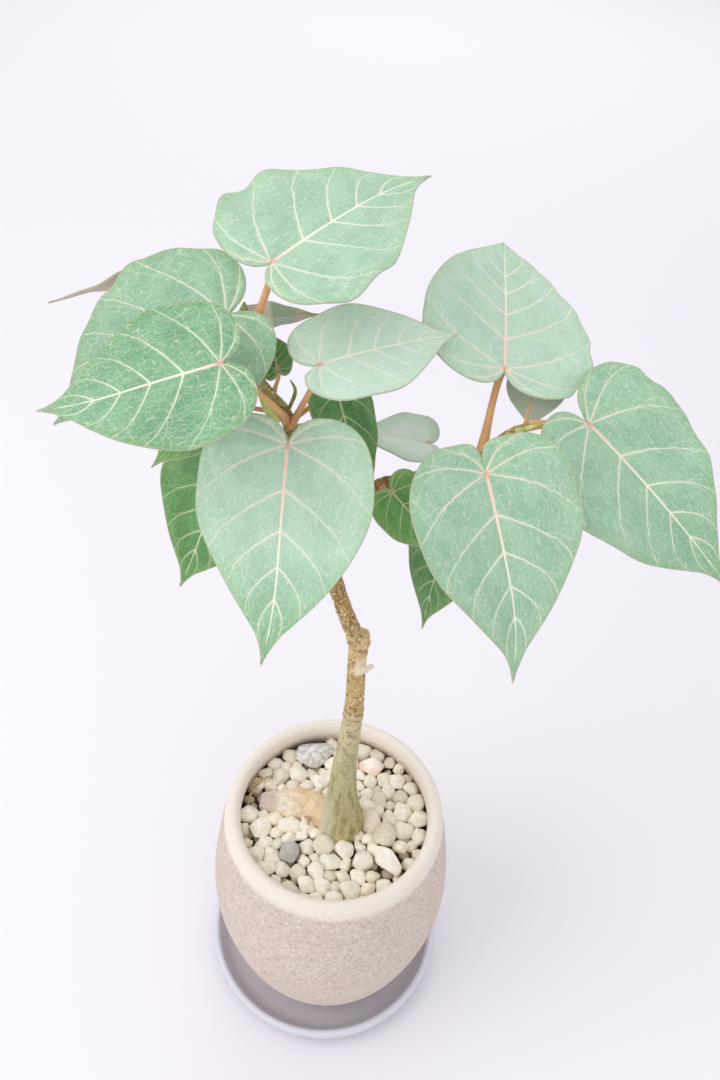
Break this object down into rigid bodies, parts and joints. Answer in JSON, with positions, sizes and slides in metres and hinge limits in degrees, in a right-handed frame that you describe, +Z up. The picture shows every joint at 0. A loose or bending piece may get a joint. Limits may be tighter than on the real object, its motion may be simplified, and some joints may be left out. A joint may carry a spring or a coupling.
{
  "type": "potted rock fig",
  "caption": "Young rock fig with a swollen foot and large pink-veined leaves, in a stone-look pot with pebbles on a saucer.",
  "frame": {"origin": "on the pot's axis, on the saucer's underside, at the resting surface", "axes": "+Z up along the pot's axis, +X to the right as seen from the front, +Y away from the viewer"},
  "size_m": [0.2706, 0.1717, 0.517],
  "materials": {
    "saucer_ceramic": "matte pale blue-grey glaze",
    "pot_ceramic": "matte warm off-white with fine dark speckle",
    "soil": "loose dark potting soil",
    "gravel": "dry cream pebbles",
    "grey_stone": "grey stone with fine speckle",
    "slate_stone": "smooth blue-grey stone",
    "white_stone": "chalky white stone",
    "beige_stone": "smooth beige stone",
    "pink_stone": "white and pink-tan stone",
    "bark": "young ridged bark, green-grey to straw",
    "stalk": "smooth orange-tan leaf stalk",
    "leaf": "satin mint green leaf with pink and cream veins",
    "young_leaf": "glossier mid green young leaf",
    "bud": "smooth yellow-green bud and papery sheath"
  },
  "bodies": {
    "root": {"saucer": "saucer_ceramic", "pot": "pot_ceramic", "soil": "soil", "gravel": "gravel", "stone_grey_speckled": "grey_stone", "stone_slate": "slate_stone", "stone_white": "white_stone", "stone_beige": "beige_stone", "stone_pink_white": "pink_stone", "trunk": "bark", "stalk_top": "stalk", "leaf_top": "leaf", "stalk_upper_left": "stalk", "leaf_upper_left": "leaf", "stalk_left_front": "stalk", "leaf_left_front": "leaf", "stalk_middle": "stalk", "leaf_middle": "leaf", "stalk_centre_front": "stalk", "leaf_centre_front": "leaf", "stalk_tip_left_low": "stalk", "leaf_tip_left_low": "leaf", "stalk_young_left": "stalk", "leaf_young_left": "young_leaf", "stalk_dark_middle": "stalk", "leaf_dark_middle": "young_leaf", "stalk_small_pale": "stalk", "leaf_small_pale": "leaf", "stalk_small_bright": "stalk", "leaf_small_bright": "young_leaf", "stalk_dark_lower_left": "stalk", "leaf_dark_lower_left": "young_leaf", "stalk_behind_centre": "stalk", "leaf_behind_centre": "young_leaf", "stalk_low_right": "stalk", "leaf_low_right": "young_leaf", "stalk_right_front": "stalk", "leaf_right_front": "leaf", "stalk_far_right": "stalk", "leaf_far_right": "leaf", "stalk_right_upper": "stalk", "leaf_right_upper": "leaf", "stalk_under_right": "stalk", "leaf_under_right": "young_leaf", "stalk_far_left_edge": "stalk", "leaf_far_left_edge": "leaf", "stalk_young_behind": "stalk", "leaf_young_behind": "young_leaf", "bud_left": "bud", "bud_right": "bud", "sheath_left": "bud", "stipule_left": "bud"}
  },
  "joints": []
}
